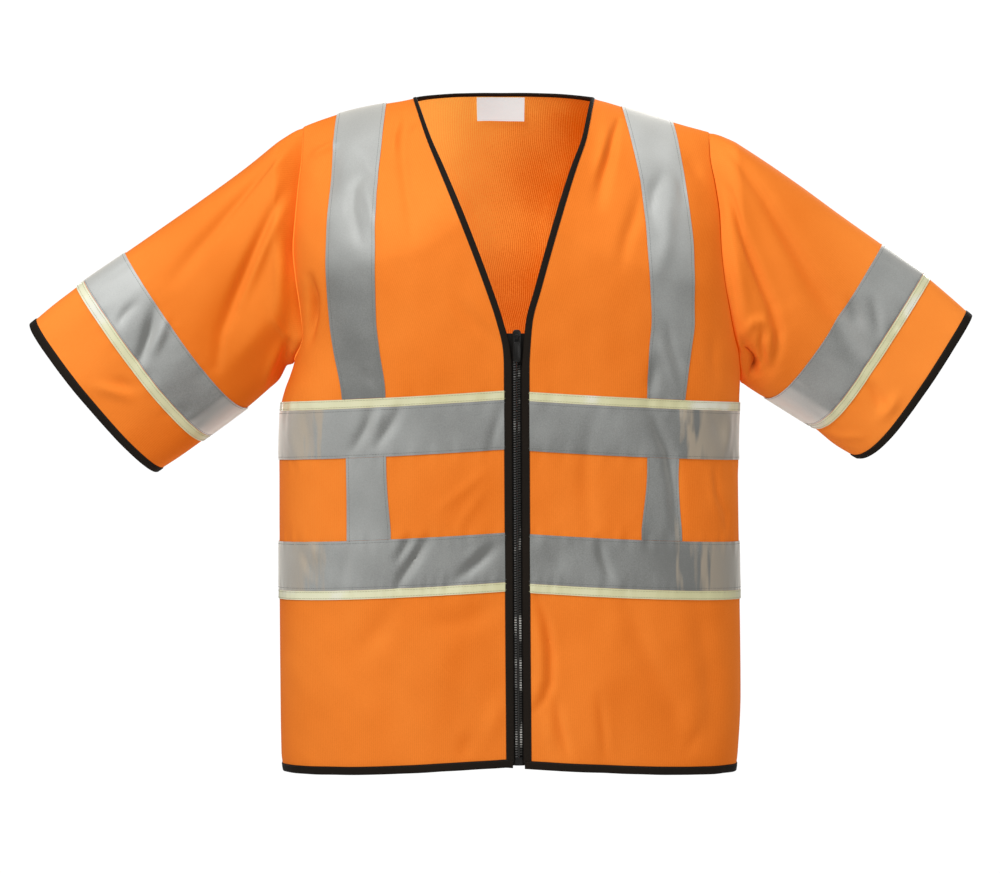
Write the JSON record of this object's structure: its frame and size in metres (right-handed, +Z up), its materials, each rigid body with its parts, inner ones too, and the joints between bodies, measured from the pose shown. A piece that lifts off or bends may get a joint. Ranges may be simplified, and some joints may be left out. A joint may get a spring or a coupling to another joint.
{
  "type": "safety vest",
  "caption": "Short-sleeved high-visibility safety vest with a V neck, front zip, black bindings, reflective bands and glow strips, filled out hollow.",
  "frame": {"origin": "midway between the two side-neck points and level with them, where the wearer's shoulders carry the garment", "axes": "+Z up, -Y out of the front, +X to the wearer's left"},
  "size_m": [0.9844, 0.2406, 0.7087],
  "materials": {
    "orange_cloth": "matt woven polyester, fluorescent orange",
    "reflective_tape": "satin retroreflective silver-grey",
    "glow_strip": "glossy pale yellow, glow in the dark",
    "black_binding": "matt black ribbed tape",
    "zip_tape": "matt black woven tape",
    "zip_plastic": "satin black moulded plastic",
    "label": "white satin, bare"
  },
  "bodies": {
    "garment": {"back_lower": "orange_cloth", "back_side_left": "orange_cloth", "back_side_right": "orange_cloth", "back_upper": "orange_cloth", "edge_binding_left": "black_binding", "edge_binding_right": "black_binding", "front_left": "orange_cloth", "front_right": "orange_cloth", "hem_binding_back": "black_binding", "hem_binding_front_left": "black_binding", "hem_binding_front_right": "black_binding", "lower_band_back": "reflective_tape", "lower_band_front_left": "reflective_tape", "lower_band_front_right": "reflective_tape", "lower_glow_back": "glow_strip", "lower_glow_front_left": "glow_strip", "lower_glow_front_right": "glow_strip", "neck_binding_back": "black_binding", "neck_label": "label", "shoulder_tape_left": "reflective_tape", "shoulder_tape_right": "reflective_tape", "sleeve_binding_left": "black_binding", "sleeve_binding_right": "black_binding", "sleeve_glow_left": "glow_strip", "sleeve_glow_right": "glow_strip", "sleeve_left": "orange_cloth", "sleeve_right": "orange_cloth", "sleeve_tape_left": "reflective_tape", "sleeve_tape_right": "reflective_tape", "upper_band_back": "reflective_tape", "upper_band_front_left": "reflective_tape", "upper_band_front_right": "reflective_tape", "upper_glow_back": "glow_strip", "upper_glow_front_left": "glow_strip", "upper_glow_front_right": "glow_strip", "waist_tape_left": "reflective_tape", "waist_tape_right": "reflective_tape", "zip_box": "zip_plastic", "zip_chain_left": "zip_plastic", "zip_chain_right": "zip_plastic", "zip_slider": "zip_plastic", "zip_tape_left": "zip_tape", "zip_tape_right": "zip_tape"},
    "pull_tab": {"zip_pull_tab": "zip_plastic"}
  },
  "joints": [
    {"name": "pull_tab_hinge", "type": "hinge", "parent": "garment", "child": "pull_tab", "pos_m": [0.0106, -0.12183, -0.2522], "axis": [-1, 0, 0], "range_deg": [-4, 165]}
  ]
}
